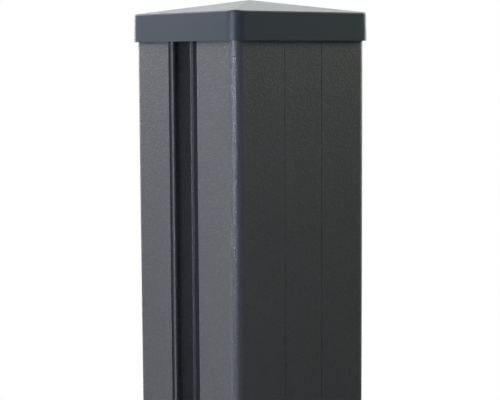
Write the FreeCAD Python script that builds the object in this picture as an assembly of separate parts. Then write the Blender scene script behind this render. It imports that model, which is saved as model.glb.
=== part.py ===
"""Aluminium fence post for plug-in infill boards.

One extruded square profile has the same stepped groove in each of its four faces. The grooves in
the left and right faces stay open and take the fence panels. The grooves in the front and rear
faces are closed by clip-in cover strips. A moulded cap with a low pyramid roof closes the top.

Millimetres, +Z up. The origin is the centre of the post's lower end. The front face looks along -Y.
"""

import FreeCAD
import Part
import math
import os

V = FreeCAD.Vector

# Post profile
POST_WIDTH = 90.0
POST_LENGTH = 1900.0
CORNER_RADIUS = 5.5
FACE_WALL = 1.8
WEB_WALL = 1.5
TUBE_WIDTH = 40.0
CHAMBER_FILLET = 0.8

# Stepped groove, the same in all four faces. Depths are measured from the face, and the floor of
# the groove is the wall of the square tube in the middle of the post.
MOUTH_WIDTH = 25.4
THROAT_WIDTH = 21.4
REBATE_DEPTH = 1.4
NOSE_THICKNESS = 1.6
SHOULDER_DEPTH = 14.5
LIP_RADIUS = 0.3
NOSE_RADIUS = 0.45
SHOULDER_FILLET = 0.6
SHOULDER_EDGE_RADIUS = 0.25
FLOOR_FILLET = 0.8

# Cover strip that clips into a groove that no panel uses
STRIP_SIDE_GAP = 0.12
STRIP_EDGE_RADIUS = 0.3
LEG_THICKNESS = 1.2
LEG_SIDE_GAP = 0.15
BARB_REACH = 1.2
BARB_LAND = 0.5
BARB_TAPER = 1.4
BARB_BEHIND_NOSE = 0.1
LEG_ROOT_FILLET = 0.5

# Post cap
CAP_SKIRT_GAP = 0.35
CAP_SKIRT_WALL = 1.85
CAP_BAND = 14.8
CAP_RISE = 7.6
CAP_OVERLAP = 12.0
CAP_DRAFT_DEG = 1.2
CAP_ROOF_WALL = 2.0
CAP_EAVE_RADIUS = 1.0
CAP_HIP_RADIUS = 3.0
CAP_SEAT_WIDTH = 3.2
CAP_POCKET_RADIUS = 4.0

# Grip ribs inside the cap's skirt
GRIP_RIB_RADIUS = 0.8
GRIP_RIB_GAP = 0.02
GRIP_LEAD_IN = 2.0

# Cross ribs under the cap's roof
CROSS_RIB_THICKNESS = 1.6

# Values that follow from the sizes above
POST_HALF = POST_WIDTH / 2
MOUTH_HALF = MOUTH_WIDTH / 2
THROAT_HALF = THROAT_WIDTH / 2
NOSE_BACK = REBATE_DEPTH + NOSE_THICKNESS
TUBE_HALF = TUBE_WIDTH / 2
BORE_HALF = TUBE_HALF - WEB_WALL
SKIRT_HALF = POST_HALF + CAP_SKIRT_GAP
CAP_HALF = SKIRT_HALF + CAP_SKIRT_WALL
CAP_BASE_Z = POST_LENGTH - CAP_OVERLAP
CAP_EAVE_Z = CAP_BASE_Z + CAP_BAND
CAP_APEX_Z = CAP_EAVE_Z + CAP_RISE


def rounded_outline(corners):
    """Closed wire through corners (x, y, radius) in the XY plane. A radius of 0 keeps the corner sharp."""
    edges = []
    starts = []
    ends = []
    arcs = []
    count = len(corners)
    for i, (x, y, radius) in enumerate(corners):
        here = V(x, y, 0)
        before = V(*corners[i - 1][:2], 0)
        after = V(*corners[(i + 1) % count][:2], 0)
        to_before = (before - here).normalize()
        to_after = (after - here).normalize()
        if radius <= 0:
            starts.append(here)
            ends.append(here)
            arcs.append(None)
            continue
        half_angle = to_before.getAngle(to_after) / 2
        reach = radius / math.tan(half_angle)
        inwards = (to_before + to_after).normalize()
        middle = here + inwards * (radius / math.sin(half_angle) - radius)
        start = here + to_before * reach
        end = here + to_after * reach
        starts.append(start)
        ends.append(end)
        arcs.append(Part.Arc(start, middle, end).toShape())
    for i in range(count):
        if arcs[i] is not None:
            edges.append(arcs[i])
        edges.append(Part.LineSegment(ends[i], starts[(i + 1) % count]).toShape())
    return Part.Wire(edges)


def turned(corners, quarter_turns):
    """Corners turned about the post's axis by a number of quarter turns."""
    for _ in range(quarter_turns):
        corners = [(-y, x, radius) for x, y, radius in corners]
    return corners


def square(half, radius):
    """Corners of a rounded square about the post's axis."""
    return [
        (-half, -half, radius),
        (half, -half, radius),
        (half, half, radius),
        (-half, half, radius),
    ]


def mirrored_half(half_outline):
    """Corners of the left half, then the same corners mirrored and in the other order."""
    return half_outline + [(-x, y, radius) for x, y, radius in reversed(half_outline)]


def groove_side():
    """Outer corners of the front face, from its left end through the groove to its right end."""
    face = -POST_HALF
    left = [
        (-MOUTH_HALF, face, LIP_RADIUS),
        (-MOUTH_HALF, face + REBATE_DEPTH, 0),
        (-THROAT_HALF, face + REBATE_DEPTH, NOSE_RADIUS),
        (-THROAT_HALF, face + NOSE_BACK, NOSE_RADIUS),
        (-MOUTH_HALF, face + NOSE_BACK, 0),
        (-MOUTH_HALF, face + SHOULDER_DEPTH, SHOULDER_FILLET),
        (-THROAT_HALF, face + SHOULDER_DEPTH, SHOULDER_EDGE_RADIUS),
        (-THROAT_HALF, -TUBE_HALF, FLOOR_FILLET),
    ]
    return [(-POST_HALF, face, CORNER_RADIUS)] + mirrored_half(left)


def corner_chamber():
    """Corners of the hollow behind the front left corner, down to two grooves and the centre tube."""
    outer = POST_HALF - FACE_WALL
    upper_web = MOUTH_HALF + WEB_WALL
    lower_web = THROAT_HALF + WEB_WALL
    step = POST_HALF - SHOULDER_DEPTH - WEB_WALL
    inner_radius = max(CORNER_RADIUS - FACE_WALL, CHAMBER_FILLET)
    half = [
        (-upper_web, -outer, CHAMBER_FILLET),
        (-upper_web, -step, 0),
        (-lower_web, -step, 0),
        (-lower_web, -TUBE_HALF, CHAMBER_FILLET),
    ]
    other_half = [(y, x, radius) for x, y, radius in reversed(half)]
    return [(-outer, -outer, inner_radius)] + half + [(-TUBE_HALF, -TUBE_HALF, 0)] + other_half


def post_profile():
    """The extrusion: outer outline less four corner chambers and the centre tube's bore."""
    outline = []
    for side in range(4):
        outline += turned(groove_side(), side)
    hollows = [rounded_outline(turned(corner_chamber(), side)) for side in range(4)]
    hollows.append(rounded_outline(square(BORE_HALF, CHAMBER_FILLET)))
    section = Part.Face(rounded_outline(outline))
    for hollow in hollows:
        section = section.cut(Part.Face(hollow))
    return section.extrude(V(0, 0, POST_LENGTH)).Solids[0]


def cover_strip(quarter_turns):
    """A flush plate in the groove's rebate, with two barbed legs that snap behind the noses."""
    face = -POST_HALF
    plate = MOUTH_HALF - STRIP_SIDE_GAP
    leg_outer = THROAT_HALF - LEG_SIDE_GAP
    leg_inner = leg_outer - LEG_THICKNESS
    barb = leg_outer + BARB_REACH
    barb_top = face + NOSE_BACK + BARB_BEHIND_NOSE
    leg_end = barb_top + BARB_LAND + BARB_TAPER
    left = [
        (-leg_inner, face + REBATE_DEPTH, LEG_ROOT_FILLET),
        (-leg_inner, leg_end, 0),
        (-leg_outer, leg_end, 0),
        (-barb, barb_top + BARB_LAND, 0),
        (-barb, barb_top, 0),
        (-leg_outer, barb_top, 0),
        (-leg_outer, face + REBATE_DEPTH, 0),
        (-plate, face + REBATE_DEPTH, 0),
        (-plate, face, STRIP_EDGE_RADIUS),
    ]
    section = Part.Face(rounded_outline(turned(mirrored_half(left), quarter_turns)))
    return section.extrude(V(0, 0, POST_LENGTH))


def leaning(height, draft_deg=CAP_DRAFT_DEG):
    """How far a drafted side leans inwards over a height."""
    return height * math.tan(math.radians(draft_deg))


def drafted_block(half, radius, base_z, height, draft_deg):
    """Rounded square block whose sides lean inwards by the draft angle as they rise."""
    lean = leaning(height, draft_deg)
    base = rounded_outline(square(half, radius))
    top = rounded_outline(square(half - lean, radius - lean))
    base.translate(V(0, 0, base_z))
    top.translate(V(0, 0, base_z + height))
    return Part.makeLoft([base, top], True, True)


def hipped_roof(drop):
    """Block under the four-sided roof, lowered by a drop: where two gable prisms at right angles overlap."""
    eave_half = CAP_HALF - leaning(CAP_BAND)
    slope = CAP_RISE / eave_half
    reach = 2 * CAP_HALF
    low_z = CAP_EAVE_Z - drop - (reach - eave_half) * slope
    floor_z = CAP_BASE_Z - reach
    gable = Part.makePolygon(
        [
            V(-reach, -reach, floor_z),
            V(reach, -reach, floor_z),
            V(reach, -reach, low_z),
            V(0, -reach, CAP_APEX_Z - drop),
            V(-reach, -reach, low_z),
            V(-reach, -reach, floor_z),
        ]
    )
    along_y = Part.Face(gable).extrude(V(0, 2 * reach, 0))
    along_x = along_y.copy()
    along_x.rotate(V(0, 0, 0), V(0, 0, 1), 90)
    return along_y.common(along_x)


def cap_outside():
    """Drafted band under the pyramid roof, with rounded hips and a rounded eave."""
    outer_radius = CORNER_RADIUS + CAP_HALF - POST_HALF
    height = CAP_APEX_Z + CAP_RISE - CAP_BASE_Z
    block = drafted_block(CAP_HALF, outer_radius, CAP_BASE_Z, height, CAP_DRAFT_DEG)
    block = block.common(hipped_roof(0)).Solids[0]
    tolerance = CAP_HIP_RADIUS / 100
    hips = [e for e in block.Edges if e.BoundBox.ZMax > CAP_APEX_Z - tolerance]
    block = block.makeFillet(CAP_HIP_RADIUS, hips)
    mid_band = (CAP_BASE_Z + CAP_EAVE_Z) / 2
    mid_roof = (CAP_EAVE_Z + CAP_APEX_Z) / 2
    eaves = [e for e in block.Edges if e.BoundBox.ZMin > mid_band and e.BoundBox.ZMax < mid_roof]
    return block.makeFillet(CAP_EAVE_RADIUS, eaves)


def cap_pocket():
    """Hollow under the roof, inside the seat and around the two cross ribs."""
    half = SKIRT_HALF - CAP_SEAT_WIDTH
    height = CAP_APEX_Z - POST_LENGTH
    pocket = drafted_block(half, CAP_POCKET_RADIUS, POST_LENGTH, height, 0)
    pocket = pocket.common(hipped_roof(CAP_ROOF_WALL))
    corner = V(-half, -CROSS_RIB_THICKNESS / 2, POST_LENGTH)
    rib = Part.makeBox(2 * half, CROSS_RIB_THICKNESS, height, corner)
    for turn_deg in (0, 90):
        turned_rib = rib.copy()
        turned_rib.rotate(V(0, 0, 0), V(0, 0, 1), turn_deg)
        pocket = pocket.cut(turned_rib)
    return pocket


def post_cap():
    """Moulded cap: skirt over the post, seat on its end, pyramid roof with cross ribs under it."""
    socket = drafted_block(SKIRT_HALF, CORNER_RADIUS + CAP_SKIRT_GAP, CAP_BASE_Z, CAP_OVERLAP, 0)
    cap = cap_outside().cut(socket).cut(cap_pocket())
    rib_offset = (MOUTH_HALF + POST_HALF - CORNER_RADIUS) / 2
    for turn_deg in (0, 90, 180, 270):
        for side in (-1, 1):
            cap = cap.fuse(grip_rib(side * rib_offset, turn_deg))
    return cap.removeSplitter().Solids[0]


def grip_rib(offset, turn_deg):
    """Half-round rib inside the skirt with a tapered lower end. It centres the cap on the post."""
    axis_y = -(POST_HALF + GRIP_RIB_GAP + GRIP_RIB_RADIUS)
    tip_radius = GRIP_RIB_RADIUS / 2
    taper_z = CAP_BASE_Z + GRIP_LEAD_IN
    taper = Part.makeCone(tip_radius, GRIP_RIB_RADIUS, GRIP_LEAD_IN, V(offset, axis_y, CAP_BASE_Z))
    straight = Part.makeCylinder(GRIP_RIB_RADIUS, POST_LENGTH - taper_z, V(offset, axis_y, taper_z))
    rib = taper.fuse(straight)
    rib.rotate(V(0, 0, 0), V(0, 0, 1), turn_deg)
    return rib


def main():
    os.makedirs("parts", exist_ok=True)
    parts = {
        "post_profile": post_profile(),
        "post_cap": post_cap(),
        "cover_strip_front": cover_strip(0),
        "cover_strip_rear": cover_strip(2),
    }
    for name, solid in parts.items():
        solid.exportStep(f"parts/{name}.step")
        print(name, "volume", round(solid.Volume), "valid", solid.isValid())


main()
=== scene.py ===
# %% [markdown]
# # A powder-coated aluminium fence post
#
# The post is one aluminium extrusion, two clip-in cover strips and a moulded plastic cap. Their
# shapes are finished solids that come in with the frame, so this file gives them what a solid does
# not have: soft shading over the small radii, a powder coat with metallic flake, bare saw-cut ends,
# and a smooth plastic for the cap. It also sets the camera, the floor and the lamps.

# %% Load the frame
import math

import bpy
import numpy as np
from mathutils import Matrix, Vector


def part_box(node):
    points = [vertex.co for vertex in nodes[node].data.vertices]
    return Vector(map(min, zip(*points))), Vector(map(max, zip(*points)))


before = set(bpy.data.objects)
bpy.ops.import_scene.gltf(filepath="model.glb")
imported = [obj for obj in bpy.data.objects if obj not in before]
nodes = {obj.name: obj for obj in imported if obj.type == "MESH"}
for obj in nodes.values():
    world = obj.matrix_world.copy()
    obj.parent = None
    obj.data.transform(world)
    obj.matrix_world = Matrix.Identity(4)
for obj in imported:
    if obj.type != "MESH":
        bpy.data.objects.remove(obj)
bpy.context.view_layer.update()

_, post_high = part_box("post_profile")
cap_low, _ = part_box("post_cap")
post_top = post_high[2]
cap_rim = cap_low[2]
print("nodes:", sorted(nodes))
print("post top at", round(post_top, 4), "m, cap rim at", round(cap_rim, 4), "m")

# %% [markdown]
# ## The camera
#
# A camera is easiest to place from what it sees. The post fills the height of the picture, its near
# edge stands a little left of the middle, and the verticals close slightly towards the foot, which
# means that the camera looks down a few degrees. The three angles, the distance and the lens below
# are measured that way, with the lens kept centred, so the picture needs no shift.

# %% Place the camera
PICTURE_WIDTH = 500
FOCAL_PIXELS = 1354.4
SENSOR_MM = 36.0
CAMERA_YAW = math.radians(-38.377)
CAMERA_PITCH = math.radians(-6.164)
CAMERA_ROLL = math.radians(-0.327)
EYE_FROM_AXIS = Vector((-0.4602, -0.5808, 0.0))
EYE_ABOVE_CAP_RIM = -0.0066


def camera_axes(yaw, pitch, roll):
    """Right, up and backward axes of a camera that looks along +Y when all three angles are 0."""
    forward = Vector((-math.sin(yaw) * math.cos(pitch), math.cos(yaw) * math.cos(pitch), math.sin(pitch)))
    right = Vector((math.cos(yaw), math.sin(yaw), 0.0))
    up = right.cross(forward)
    rolled_right = right * math.cos(roll) + up * math.sin(roll)
    rolled_up = up * math.cos(roll) - right * math.sin(roll)
    return rolled_right, rolled_up, -forward


camera_data = bpy.data.cameras.new("camera")
camera_data.sensor_width = SENSOR_MM
camera_data.lens = FOCAL_PIXELS * SENSOR_MM / PICTURE_WIDTH
camera_data.clip_start = 0.01
camera_data.clip_end = 50.0
camera = bpy.data.objects.new("camera", camera_data)
bpy.context.scene.collection.objects.link(camera)
eye = Vector((EYE_FROM_AXIS.x, EYE_FROM_AXIS.y, cap_rim + EYE_ABOVE_CAP_RIM))
turn = Matrix(camera_axes(CAMERA_YAW, CAMERA_PITCH, CAMERA_ROLL)).transposed()
camera.matrix_world = Matrix.Translation(eye) @ turn.to_4x4()
bpy.context.scene.camera = camera
print("camera lens", round(camera_data.lens, 1), "mm, eye at", tuple(round(c, 3) for c in eye))

# %% [markdown]
# ## Soft shading for the solids
#
# The solids arrive as loose flat triangles, so a small radius would show as facets. Geometry nodes
# can join the triangles and shade them smooth, and still keep every real edge crisp: an edge stays
# sharp where its two faces meet at more than a set angle. A Weighted Normal modifier then lets the
# large flat faces win, so that only the small radii between them shade round. Both leave the solid
# itself untouched, which matters because its size is already right. A short function adds each node
# and sets its inputs, here and in every tree below.

# %% Smooth the small radii
JOIN_DISTANCE = 1e-6
SHARP_ANGLE = math.radians(24.0)


def add_node(tree, kind, inputs=None, **settings):
    """A new node with its settings and inputs. An input is a plain value or another node's output."""
    node = tree.nodes.new(kind)
    for name, value in settings.items():
        setattr(node, name, value)
    for name, value in (inputs or {}).items():
        socket = node.inputs[name]
        if isinstance(value, bpy.types.NodeSocket):
            tree.links.new(value, socket)
        else:
            socket.default_value = value
    return node


def smooth_by_angle():
    """Geometry nodes: drop the loaded normals, join touching corners, shade smooth but keep real edges."""
    group = bpy.data.node_groups.new("smooth_small_radii", "GeometryNodeTree")
    group.interface.new_socket("Geometry", in_out="INPUT", socket_type="NodeSocketGeometry")
    group.interface.new_socket("Geometry", in_out="OUTPUT", socket_type="NodeSocketGeometry")
    start = group.nodes.new("NodeGroupInput")
    end = group.nodes.new("NodeGroupOutput")
    plain = add_node(
        group,
        "GeometryNodeRemoveAttribute",
        {"Geometry": start.outputs[0], "Name": "custom_normal"},
    )
    joined = add_node(
        group,
        "GeometryNodeMergeByDistance",
        {"Geometry": plain.outputs[0], "Distance": JOIN_DISTANCE},
    )
    faces = add_node(
        group,
        "GeometryNodeSetShadeSmooth",
        {"Geometry": joined.outputs[0], "Shade Smooth": True},
    )
    angle = add_node(group, "GeometryNodeInputMeshEdgeAngle")
    is_sharp = add_node(
        group,
        "FunctionNodeCompare",
        {0: angle.outputs["Unsigned Angle"], 1: SHARP_ANGLE},
        operation="GREATER_THAN",
    )
    edges = add_node(
        group,
        "GeometryNodeSetShadeSmooth",
        {"Geometry": faces.outputs[0], "Selection": is_sharp.outputs[0], "Shade Smooth": False},
        domain="EDGE",
    )
    group.links.new(edges.outputs[0], end.inputs[0])
    return group


small_radii = smooth_by_angle()
for node_object in nodes.values():
    smoothing = node_object.modifiers.new("smooth_small_radii", "NODES")
    smoothing.node_group = small_radii
    even_faces = node_object.modifiers.new("even_faces", "WEIGHTED_NORMAL")
    even_faces.keep_sharp = True
print("smoothed", len(nodes), "solids")

# %% [markdown]
# ## A fine grain for sprayed and moulded skins
#
# A sprayed powder film and a moulded plastic skin both have a fine grain, one coarser than the
# other. One node group makes it for both, with the grain's size as an input. Three layers of noise
# give it: the first makes the bumps, the second, ten times as large, makes slow changes of tone, and
# the third, between them in size, says where the colour leans one way or the other. Object
# coordinates carry all three, so they stay the same size on every piece.

# %% Build the grain group
TONES_PER_GRAIN = 0.1
TINTS_PER_GRAIN = 0.45


def sums(tree, operation, *values, clamp=False):
    """One Math node: the operation on up to three values, and its output."""
    node = add_node(tree, "ShaderNodeMath", dict(enumerate(values)), operation=operation)
    node.use_clamp = clamp
    return node.outputs[0]


def noise(tree, place, scale, detail, **inputs):
    """Noise between 0 and 1, with about as many bumps in one unit of place as the scale says."""
    inputs = {"Vector": place, "Scale": scale, "Detail": detail, **inputs}
    return add_node(tree, "ShaderNodeTexNoise", inputs).outputs[0]


def group_frame(name, inputs, outputs):
    """An empty shader group with named sockets, and its input and output nodes."""
    group = bpy.data.node_groups.new(name, "ShaderNodeTree")
    for label, kind, value in inputs:
        socket = group.interface.new_socket(label, in_out="INPUT", socket_type=kind)
        if value is not None:
            socket.default_value = value
    for label, kind in outputs:
        group.interface.new_socket(label, in_out="OUTPUT", socket_type=kind)
    return group, group.nodes.new("NodeGroupInput"), group.nodes.new("NodeGroupOutput")


def output_names(group):
    """The names of a group's outputs."""
    return [socket.name for socket in group.interface.items_tree if socket.in_out == "OUTPUT"]


def fine_grain():
    """Group: Height is noise at the grain's size. Tone and Tint are wider noise. All run from 0 to 1."""
    group, start, end = group_frame(
        "fine_grain",
        [("Vector", "NodeSocketVector", None), ("Grains per Metre", "NodeSocketFloat", 1000.0)],
        [("Height", "NodeSocketFloat"), ("Tone", "NodeSocketFloat"), ("Tint", "NodeSocketFloat")],
    )
    place = start.outputs["Vector"]
    grains = start.outputs["Grains per Metre"]
    height = noise(group, place, grains, 1.5, Roughness=0.55)
    tone = noise(group, place, sums(group, "MULTIPLY", grains, TONES_PER_GRAIN), 3.0)
    tint = noise(group, place, sums(group, "MULTIPLY", grains, TINTS_PER_GRAIN), 2.0)
    group.links.new(height, end.inputs["Height"])
    group.links.new(tone, end.inputs["Tone"])
    group.links.new(tint, end.inputs["Tint"])
    return group


grain_group = fine_grain()
print("grain group outputs:", output_names(grain_group))

# %% [markdown]
# ## Where the aluminium is bare
#
# The post is coated as a full-length bar, outside and in its open grooves, and is then sawn. So its
# ends are bare metal with the arcs of the saw blade, and its closed hollows are bare mill-finish
# metal, apart from a little overspray near the ends. The hollows can be found from the coordinates
# alone: the centre tube's bore is a square, and the corner chambers lie beyond the groove walls. The
# limits across the section lie within the metal, between a coated face and a bare one.

# %% Build the bare metal masks
BORE_HALF = 0.0186
GROOVE_WALL = 0.0115
SHOULDER_EXTRA = 0.0013
SHOULDER_AT = 0.0297
OUTER_WALL_INSIDE = 0.04326
CUT_SKIN = 0.00006
OVERSPRAY_REACH = 0.035
OVERSPRAY_FULL = 0.75
OVERSPRAY_DRIFT = 0.9
OVERSPRAY_PATCHES = 90.0


def bare_metal_masks():
    """Group: Cut is 1 on the sawn ends. Hollow is 1 on the hollows' walls beyond the overspray."""
    group, start, end = group_frame(
        "bare_metal_masks",
        [("Vector", "NodeSocketVector", None), ("Length", "NodeSocketFloat", 1.9)],
        [("Cut", "NodeSocketFloat"), ("Hollow", "NodeSocketFloat")],
    )
    place = add_node(group, "ShaderNodeSeparateXYZ", {0: start.outputs["Vector"]})
    height = place.outputs["Z"]
    across_x = sums(group, "ABSOLUTE", place.outputs["X"])
    across_y = sums(group, "ABSOLUTE", place.outputs["Y"])
    nearer = sums(group, "MINIMUM", across_x, across_y)
    farther = sums(group, "MAXIMUM", across_x, across_y)
    from_top = sums(group, "SUBTRACT", start.outputs["Length"], height)
    from_end = sums(group, "MINIMUM", height, from_top)
    cut = sums(group, "LESS_THAN", from_end, CUT_SKIN)
    in_bore = sums(group, "LESS_THAN", farther, BORE_HALF)
    past_shoulder = sums(group, "GREATER_THAN", farther, SHOULDER_AT)
    wall = sums(group, "MULTIPLY_ADD", past_shoulder, SHOULDER_EXTRA, GROOVE_WALL)
    past_wall = sums(group, "GREATER_THAN", nearer, wall)
    under_skin = sums(group, "LESS_THAN", farther, OUTER_WALL_INSIDE)
    in_chamber = sums(group, "MULTIPLY", past_wall, under_skin)
    hollow = sums(group, "MAXIMUM", in_bore, in_chamber)
    drift = noise(group, start.outputs["Vector"], OVERSPRAY_PATCHES, 3.0)
    depth = sums(group, "DIVIDE", from_end, OVERSPRAY_REACH)
    past_spray = sums(group, "SUBTRACT", depth, OVERSPRAY_FULL)
    clear = sums(group, "MULTIPLY_ADD", drift, OVERSPRAY_DRIFT, past_spray, clamp=True)
    group.links.new(cut, end.inputs["Cut"])
    group.links.new(sums(group, "MULTIPLY", hollow, clear), end.inputs["Hollow"])
    return group


bare_group = bare_metal_masks()
print("bare metal masks:", output_names(bare_group))

# %% [markdown]
# ## The flakes in the powder
#
# A little metal flake is mixed into the powder. Voronoi cells stand in for it: each cell draws its
# own random number, most cells hold plain paint, and the few whose draw is high hold a flake. The
# second output is another draw, which makes each cell a little lighter or darker than its neighbours.

# %% Build the flake group


def metal_flakes():
    """Group: each Voronoi cell draws a random number, and the cells over the threshold hold a flake."""
    group, start, end = group_frame(
        "metal_flakes",
        [
            ("Vector", "NodeSocketVector", None),
            ("Flakes per Metre", "NodeSocketFloat", 2000.0),
            ("Threshold", "NodeSocketFloat", 0.9),
        ],
        [("Flake", "NodeSocketFloat"), ("Cell", "NodeSocketFloat")],
    )
    cells = add_node(
        group,
        "ShaderNodeTexVoronoi",
        {"Vector": start.outputs["Vector"], "Scale": start.outputs["Flakes per Metre"]},
    )
    draw = add_node(group, "ShaderNodeSeparateColor", {0: cells.outputs["Color"]})
    flake = sums(group, "GREATER_THAN", draw.outputs[0], start.outputs["Threshold"])
    group.links.new(flake, end.inputs["Flake"])
    group.links.new(draw.outputs[1], end.inputs["Cell"])
    return group


flake_group = metal_flakes()
print("flake group outputs:", output_names(flake_group))

# %% [markdown]
# ## The powder coat's film
#
# The coat is a baked film of dark grey powder with a fine texture. It could be one grey with some
# roughness, but the real film breaks the light up: each bump tips the surface a few degrees, so the
# corner's highlight turns into specks. Close up, the grey is also not one grey: it drifts between an
# olive and a violet cast over a few millimetres, and a flake is brighter and more metallic than the
# paint around it.

# %% Mix the film
COAT_DARK = (0.098, 0.102, 0.106, 1.0)
COAT_LIGHT = (0.150, 0.156, 0.163, 1.0)
COAT_VIOLET = (0.126, 0.124, 0.150, 1.0)
COAT_OLIVE = (0.130, 0.136, 0.118, 1.0)
COAT_GRAINS = 1050.0
COAT_BUMP = 0.00022
COAT_ROUGHNESS = 0.42
COAT_ROUGHNESS_SPAN = 0.16
TONE_SHARE = 0.5
CELL_SHARE = 0.5
CAST_SHARE = 0.4
CAST_MIDDLE = 0.5
CAST_CONTRAST = 3.0
FLAKES_PER_METRE = 2000.0
FLAKE_THRESHOLD = 0.86
FLAKE_COLOUR = (0.42, 0.43, 0.46, 1.0)
FLAKE_SHARE = 0.4
FLAKE_METAL = 0.7


def place_group(tree, group, inputs):
    """A node group placed in a material, with its inputs set."""
    node = tree.nodes.new("ShaderNodeGroup")
    node.node_tree = group
    for name, value in inputs.items():
        if isinstance(value, bpy.types.NodeSocket):
            tree.links.new(value, node.inputs[name])
        else:
            node.inputs[name].default_value = value
    return node


def mix_colours(tree, factor, first, second):
    """A blend of two colours: first where the factor is 0, second where it is 1."""
    inputs = {0: factor, 6: first, 7: second}
    return add_node(tree, "ShaderNodeMix", inputs, data_type="RGBA").outputs[2]


def spread(tree, pattern, middle, span, clamp=False):
    """A value about a middle, which a pattern between 0 and 1 moves by up to half the span."""
    return sums(tree, "MULTIPLY_ADD", pattern, span, middle - span / 2, clamp=clamp)


def coat_film(tree, where):
    """Colour, roughness, height and metal share of the film. It is mottled, then cast, then flaked."""
    grain = place_group(tree, grain_group, {"Vector": where, "Grains per Metre": COAT_GRAINS})
    flakes = place_group(
        tree,
        flake_group,
        {"Vector": where, "Flakes per Metre": FLAKES_PER_METRE, "Threshold": FLAKE_THRESHOLD},
    )
    from_cells = sums(tree, "MULTIPLY", flakes.outputs["Cell"], CELL_SHARE)
    mottle = sums(tree, "MULTIPLY_ADD", grain.outputs["Tone"], TONE_SHARE, from_cells)
    grey = mix_colours(tree, mottle, COAT_DARK, COAT_LIGHT)
    lean = spread(tree, grain.outputs["Tint"], CAST_MIDDLE, CAST_CONTRAST, clamp=True)
    cast = mix_colours(tree, lean, COAT_OLIVE, COAT_VIOLET)
    paint = mix_colours(tree, CAST_SHARE, grey, cast)
    flake_share = sums(tree, "MULTIPLY", flakes.outputs["Flake"], FLAKE_SHARE)
    colour = mix_colours(tree, flake_share, paint, FLAKE_COLOUR)
    rough = spread(tree, grain.outputs["Height"], COAT_ROUGHNESS, COAT_ROUGHNESS_SPAN)
    height = sums(tree, "MULTIPLY", grain.outputs["Height"], COAT_BUMP)
    metal = sums(tree, "MULTIPLY", flakes.outputs["Flake"], FLAKE_METAL)
    return colour, rough, height, metal


grain_mm = 1000 / COAT_GRAINS
flake_mm = 1000 / FLAKES_PER_METRE
print("film: grain about", round(grain_mm, 2), "mm, flakes about", round(flake_mm, 2), "mm")

# %% [markdown]
# ## Marks on the bare metal
#
# Bare aluminium shows how it was made. The die that the bar was pushed through leaves fine lines
# along it, and noise stretched along the post gives those. The saw leaves arcs on the ends. They are
# noise of one number only, the distance from the blade's centre, which is why they come out curved.

# %% Make the die lines and the saw arcs
ALUMINIUM_ROUGHNESS = 0.4
ALUMINIUM_ROUGHNESS_SPAN = 0.2
DIE_LINES = (1500.0, 1500.0, 3.0)
DIE_LINE_HEIGHT = 0.000012
SAWN_ROUGHNESS = 0.375
SAWN_ROUGHNESS_SPAN = 0.35
SAW_CENTRE = (-0.16, 0.07, 0.0)
SAW_LINES = 1100.0
SAW_LINE_HEIGHT = 0.00004
SAW_WANDER = 3.0
SAW_WANDERS_PER_METRE = 60.0


def mill_finish(tree, where):
    """Roughness and height of the die lines: noise that is squeezed across the post, not along it."""
    along = add_node(tree, "ShaderNodeMapping", {"Vector": where, "Scale": DIE_LINES})
    lines = noise(tree, along.outputs[0], 1.0, 3.0)
    rough = spread(tree, lines, ALUMINIUM_ROUGHNESS, ALUMINIUM_ROUGHNESS_SPAN)
    return rough, sums(tree, "MULTIPLY", lines, DIE_LINE_HEIGHT)


def sawn_end(tree, where):
    """Roughness and height of the saw arcs: noise of the distance from the blade, a little wandered."""
    swing = add_node(tree, "ShaderNodeVectorMath", {0: where, 1: SAW_CENTRE}, operation="DISTANCE")
    wander = sums(tree, "MULTIPLY", noise(tree, where, SAW_WANDERS_PER_METRE, 2.0), SAW_WANDER)
    phase = sums(tree, "MULTIPLY_ADD", swing.outputs["Value"], SAW_LINES, wander)
    inputs = {"W": phase, "Scale": 1.0, "Detail": 3.0}
    arcs = add_node(tree, "ShaderNodeTexNoise", inputs, noise_dimensions="1D").outputs[0]
    rough = spread(tree, arcs, SAWN_ROUGHNESS, SAWN_ROUGHNESS_SPAN)
    return rough, sums(tree, "MULTIPLY", arcs, SAW_LINE_HEIGHT)


die_line_mm = 1000 / DIE_LINES[0]
saw_arc_mm = 1000 / SAW_LINES
print("die lines about", round(die_line_mm, 2), "mm apart, saw arcs about", round(saw_arc_mm, 2), "mm")

# %% [markdown]
# ## One material for film and metal
#
# A sawn bar has its film and its bare metal on one solid, so one Principled shader has to show both.
# The masks choose between them for each of its inputs. The heights go through one Bump node, so the
# grain tips the light without moving the solid. The two cover strips are sprayed in the same powder,
# so they share the material.

# %% Build the powder coat material
COAT_GLOSS = 0.75
ALUMINIUM_COLOUR = (0.70, 0.71, 0.73, 1.0)
SAWN_COLOUR = (0.80, 0.81, 0.83, 1.0)


def principled_material(name, **values):
    """A material with one Principled shader. Values that are the same all over are set on its sockets."""
    material = bpy.data.materials.new(name)
    material.use_nodes = True
    shader = material.node_tree.nodes["Principled BSDF"]
    for label, value in values.items():
        shader.inputs[label.replace("_", " ")].default_value = value
    return material, material.node_tree, shader


def mix_values(tree, factor, first, second):
    """A blend of two numbers: first where the factor is 0, second where it is 1."""
    return add_node(tree, "ShaderNodeMix", {0: factor, 2: first, 3: second}).outputs[0]


def relief(tree, height):
    """The surface's normal, tipped by a height in metres."""
    inputs = {"Strength": 1.0, "Distance": 1.0, "Height": height}
    return add_node(tree, "ShaderNodeBump", inputs).outputs[0]


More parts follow.
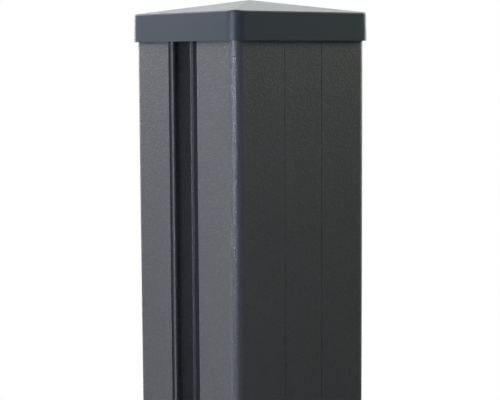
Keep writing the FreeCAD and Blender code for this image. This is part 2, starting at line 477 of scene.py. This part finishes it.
def powder_coat():
    """The film, with the die lines where Hollow is 1 and the saw arcs where Cut is 1."""
    material, tree, shader = principled_material("powder_coat_film", Specular_IOR_Level=COAT_GLOSS)
    where = add_node(tree, "ShaderNodeTexCoord").outputs["Object"]
    bare = place_group(tree, bare_group, {"Vector": where, "Length": post_top})
    hollow = bare.outputs["Hollow"]
    cut = bare.outputs["Cut"]
    film, film_rough, film_height, film_metal = coat_film(tree, where)
    mill_rough, mill_height = mill_finish(tree, where)
    sawn_rough, sawn_height = sawn_end(tree, where)
    colour = mix_colours(tree, cut, mix_colours(tree, hollow, film, ALUMINIUM_COLOUR), SAWN_COLOUR)
    rough = mix_values(tree, cut, mix_values(tree, hollow, film_rough, mill_rough), sawn_rough)
    height = mix_values(tree, cut, mix_values(tree, hollow, film_height, mill_height), sawn_height)
    metal = sums(tree, "MAXIMUM", sums(tree, "MAXIMUM", hollow, cut), film_metal)
    tree.links.new(colour, shader.inputs["Base Color"])
    tree.links.new(rough, shader.inputs["Roughness"])
    tree.links.new(metal, shader.inputs["Metallic"])
    tree.links.new(relief(tree, height), shader.inputs["Normal"])
    return material


coat = powder_coat()
for name in ("post_profile", "cover_strip_front", "cover_strip_rear"):
    nodes[name].data.materials[0] = coat
print("powder coat on", [n for n in sorted(nodes) if nodes[n].data.materials[0] == coat])

# %% [markdown]
# ## The cap's plastic
#
# The cap is moulded in a slate plastic with a much finer grain than the coat's. From the front, its
# low roof mirrors what is behind the post at a glancing angle, so it looks almost white while its
# sides stay dark. The Principled shader does that by itself from the plastic's gloss. The skin only
# needs a very fine moulded grain and a slow change of gloss.

# %% Build the cap material
CAP_COLOUR = (0.066, 0.083, 0.100, 1.0)
CAP_COLOUR_LIGHT = (0.075, 0.094, 0.114, 1.0)
CAP_GRAINS = 2600.0
CAP_BUMP = 0.000003
CAP_GLOSS = 0.4
CAP_ROUGHNESS = 0.42
CAP_ROUGHNESS_SPAN = 0.08
CAP_FLOW_MARKS = 45.0
CAP_GRAIN_SHARE = 0.4
CAP_FLOW_SHARE = 0.6


def cap_plastic():
    """Slate plastic with fine grain, slow tone changes and a satin gloss."""
    material, tree, shader = principled_material("slate_plastic", Specular_IOR_Level=CAP_GLOSS)
    where = add_node(tree, "ShaderNodeTexCoord").outputs["Object"]
    grain = place_group(tree, grain_group, {"Vector": where, "Grains per Metre": CAP_GRAINS})
    flow = noise(tree, where, CAP_FLOW_MARKS, 3.0)
    from_flow = sums(tree, "MULTIPLY", flow, CAP_FLOW_SHARE)
    tone = sums(tree, "MULTIPLY_ADD", grain.outputs["Tone"], CAP_GRAIN_SHARE, from_flow)
    colour = mix_colours(tree, tone, CAP_COLOUR, CAP_COLOUR_LIGHT)
    rough = spread(tree, flow, CAP_ROUGHNESS, CAP_ROUGHNESS_SPAN)
    height = sums(tree, "MULTIPLY", grain.outputs["Height"], CAP_BUMP)
    tree.links.new(colour, shader.inputs["Base Color"])
    tree.links.new(rough, shader.inputs["Roughness"])
    tree.links.new(relief(tree, height), shader.inputs["Normal"])
    return material


slate = cap_plastic()
nodes["post_cap"].data.materials[0] = slate
print("cap material:", nodes["post_cap"].data.materials[0].name)

# %% [markdown]
# ## The floor
#
# The post stands on a pale matt disc that keeps the shadow at its foot. A disc with a plain edge
# would show where it ends, so its paint turns to pure white on the way to the rim, like the surround
# behind it. The glow that lifts the disc is there for camera rays only, so it lights nothing.

# %% Build the floor
FLOOR_RADIUS = 3.4
FLOOR_RINGS = 40
FLOOR_SPOKES = 96
FLOOR_COLOUR = (0.80, 0.80, 0.80, 1.0)
FLOOR_GLOW = 0.42
FLOOR_PALE_WITHIN = 0.7
FLOOR_WHITE_BEYOND = 3.3


def floor_disc():
    """A point at ring r and angle a is (r cos a, r sin a, 0), and quads join neighbouring rings."""
    radius = np.linspace(0.0, FLOOR_RADIUS, FLOOR_RINGS + 1)[1:]
    angle = np.linspace(0.0, 2 * np.pi, FLOOR_SPOKES, endpoint=False)
    ring, spoke = np.meshgrid(radius, angle, indexing="ij")
    points = np.stack([ring * np.cos(spoke), ring * np.sin(spoke), np.zeros_like(ring)], axis=-1)
    vertices = np.vstack([[[0.0, 0.0, 0.0]], points.reshape(-1, 3)])
    index = 1 + np.arange(FLOOR_RINGS * FLOOR_SPOKES).reshape(FLOOR_RINGS, FLOOR_SPOKES)
    following = np.roll(index, -1, axis=1)
    quads = np.stack([index[:-1], index[1:], following[1:], following[:-1]], axis=-1).reshape(-1, 4)
    centre = np.stack([np.zeros(FLOOR_SPOKES, int), index[0], following[0]], axis=-1)
    mesh = bpy.data.meshes.new("floor")
    mesh.from_pydata(vertices.tolist(), [], centre.tolist() + quads.tolist())
    floor = bpy.data.objects.new("floor", mesh)
    bpy.context.scene.collection.objects.link(floor)
    return floor


def floor_material():
    """Pale matt floor with a glow for camera rays, which grows to full white at the rim."""
    material = bpy.data.materials.new("pale_floor")
    material.use_nodes = True
    tree = material.node_tree
    tree.nodes.clear()
    output = add_node(tree, "ShaderNodeOutputMaterial")
    where = add_node(tree, "ShaderNodeTexCoord").outputs["Object"]
    reach = add_node(tree, "ShaderNodeVectorMath", {0: where}, operation="LENGTH")
    rim = add_node(
        tree,
        "ShaderNodeMapRange",
        {"Value": reach.outputs["Value"], "From Min": FLOOR_PALE_WITHIN, "From Max": FLOOR_WHITE_BEYOND},
        interpolation_type="SMOOTHERSTEP",
    )
    ray = add_node(tree, "ShaderNodeLightPath")
    matt = add_node(tree, "ShaderNodeBsdfDiffuse", {"Color": FLOOR_COLOUR})
    glow = add_node(
        tree,
        "ShaderNodeEmission",
        {"Strength": sums(tree, "MULTIPLY", ray.outputs["Is Camera Ray"], FLOOR_GLOW)},
    )
    lit = add_node(tree, "ShaderNodeAddShader", {0: matt.outputs[0], 1: glow.outputs[0]})
    white = add_node(tree, "ShaderNodeEmission", {"Strength": ray.outputs["Is Camera Ray"]})
    shaders = {0: rim.outputs[0], 1: lit.outputs[0], 2: white.outputs[0]}
    blend = add_node(tree, "ShaderNodeMixShader", shaders)
    tree.links.new(blend.outputs[0], output.inputs["Surface"])
    return material


floor = floor_disc()
floor.data.materials.append(floor_material())
print("floor radius", FLOOR_RADIUS, "m with", len(floor.data.polygons), "faces")

# %% [markdown]
# ## The white surround
#
# The picture's ground is pure white. It must not come from strong light, which would wash the paint
# out, so the surround is white only for rays that look at it: camera rays everywhere, and glossy rays
# where the white backdrop stands behind the post. That second part is what makes the cap's roof shine
# almost white at its glancing angle, while the faces that look away from the backdrop stay dark. As a
# light, the surround is a dim room.

# %% Build the surround
WHITE = (1.0, 1.0, 1.0, 1.0)
BACKDROP = Vector((0.55, 0.68, 0.50)).normalized()
BACKDROP_EDGE = 0.45
BACKDROP_FULL = 0.75
ROOM_GREY = 0.02
CEILING = 0.04


def white_surround():
    """World: 1 for rays that look at the white backdrop, and otherwise a dim room with a soft ceiling."""
    world = bpy.data.worlds.new("white_surround")
    world.use_nodes = True
    tree = world.node_tree
    tree.nodes.clear()
    output = add_node(tree, "ShaderNodeOutputWorld")
    direction = add_node(tree, "ShaderNodeTexCoord").outputs["Generated"]
    up = add_node(tree, "ShaderNodeSeparateXYZ", {0: direction}).outputs["Z"]
    towards = add_node(tree, "ShaderNodeVectorMath", {0: direction, 1: BACKDROP}, operation="DOT_PRODUCT")
    backdrop = add_node(
        tree,
        "ShaderNodeMapRange",
        {"Value": towards.outputs["Value"], "From Min": BACKDROP_EDGE, "From Max": BACKDROP_FULL},
        interpolation_type="SMOOTHSTEP",
    )
    light = sums(tree, "MULTIPLY_ADD", sums(tree, "MAXIMUM", up, 0.0), CEILING, ROOM_GREY)
    ray = add_node(tree, "ShaderNodeLightPath")
    looking = sums(tree, "MAXIMUM", ray.outputs["Is Camera Ray"], ray.outputs["Is Transmission Ray"])
    glossy = sums(tree, "MULTIPLY", ray.outputs["Is Glossy Ray"], backdrop.outputs[0])
    seen = sums(tree, "MAXIMUM", looking, glossy)
    room = add_node(tree, "ShaderNodeBackground", {"Color": WHITE, "Strength": light})
    white = add_node(tree, "ShaderNodeBackground", {"Color": WHITE, "Strength": 1.0})
    blend = add_node(tree, "ShaderNodeMixShader", {0: seen, 1: room.outputs[0], 2: white.outputs[0]})
    tree.links.new(blend.outputs[0], output.inputs["Surface"])
    return world


bpy.context.scene.world = white_surround()
print("surround:", bpy.context.scene.world.name)

# %% [markdown]
# ## The lamps
#
# The picture says where its lamps hang. The left face sends back three to four times the light of
# the right one, and a short shadow lies under the cap, so the key lamp hangs high on the left, with a
# larger one under it for the rest of that face. The narrow bright line down the near corner needs a
# small lamp of its own, close to that corner and level with the cap. Two weaker lamps, a little
# yellow, fill the right face, and a wide one behind the post lights the cap's roof. The four far
# lamps are large and soft. They keep the lower part, the back and the floor even, and because they
# are far off, they leave no bright patch on the floor. Every lamp is a rectangle, because a large
# soft source gives soft edges between light and dark.

# %% Hang the lamps
KEY_TINT = (0.98, 1.0, 1.05)
GLINT_TINT = (0.90, 0.94, 1.16)
FILL_TINT = (0.99, 1.03, 0.84)
RIM_TINT = (1.0, 0.985, 0.965)
FAR_TINT = (0.99, 1.02, 0.88)
bpy.context.scene.view_settings.view_transform = "Standard"


def softbox(name, azimuth, elevation, distance, aim_height, size, power, colour=(1.0, 1.0, 1.0)):
    """A rectangular lamp at two angles and a distance from a point on the post's axis, which it faces."""
    flat = distance * math.cos(math.radians(elevation))
    turn = math.radians(azimuth)
    rise = distance * math.sin(math.radians(elevation))
    aim = Vector((0.0, 0.0, aim_height))
    place = aim + Vector((flat * math.cos(turn), flat * math.sin(turn), rise))
    lamp = bpy.data.lights.new(name, "AREA")
    lamp.shape = "RECTANGLE"
    lamp.size, lamp.size_y = size
    lamp.energy = power
    lamp.color = colour
    lamp_object = bpy.data.objects.new(name, lamp)
    lamp_object.location = place
    lamp_object.rotation_euler = (aim - place).to_track_quat("-Z", "Y").to_euler()
    lamp_object.visible_camera = False
    bpy.context.scene.collection.objects.link(lamp_object)
    return lamp_object


# name, azimuth and elevation in degrees, distance and aim height in metres, size in metres, watts
lamps = [
    softbox("key_left", 152, 42, 1.40, 1.78, (0.30, 0.50), 5.0, KEY_TINT),
    softbox("corner_glint", 199, 6, 0.58, 1.82, (0.18, 0.13), 1.20, GLINT_TINT),
    softbox("wash_left", 152, 40, 1.60, 1.40, (0.50, 0.90), 3.0),
    softbox("fill_right", 318, 33, 0.75, 1.84, (0.36, 0.40), 0.68, FILL_TINT),
    softbox("side_right", 342, 20, 1.10, 1.84, (0.28, 0.28), 1.6, FILL_TINT),
    softbox("rim_behind", 51, 15, 1.50, 1.84, (1.30, 0.70), 4.3, RIM_TINT),
    softbox("low_left", 150, 20, 2.60, 0.30, (0.80, 1.20), 7.0),
    softbox("far_right", 335, 45, 2.60, 0.90, (0.80, 1.20), 4.0, FAR_TINT),
    softbox("behind_right", 10, 35, 2.40, 0.90, (1.00, 1.20), 22.0),
    softbox("behind_left", 93, 35, 2.40, 0.90, (1.00, 1.20), 22.0),
]
print("lamps:", [lamp.name for lamp in lamps])
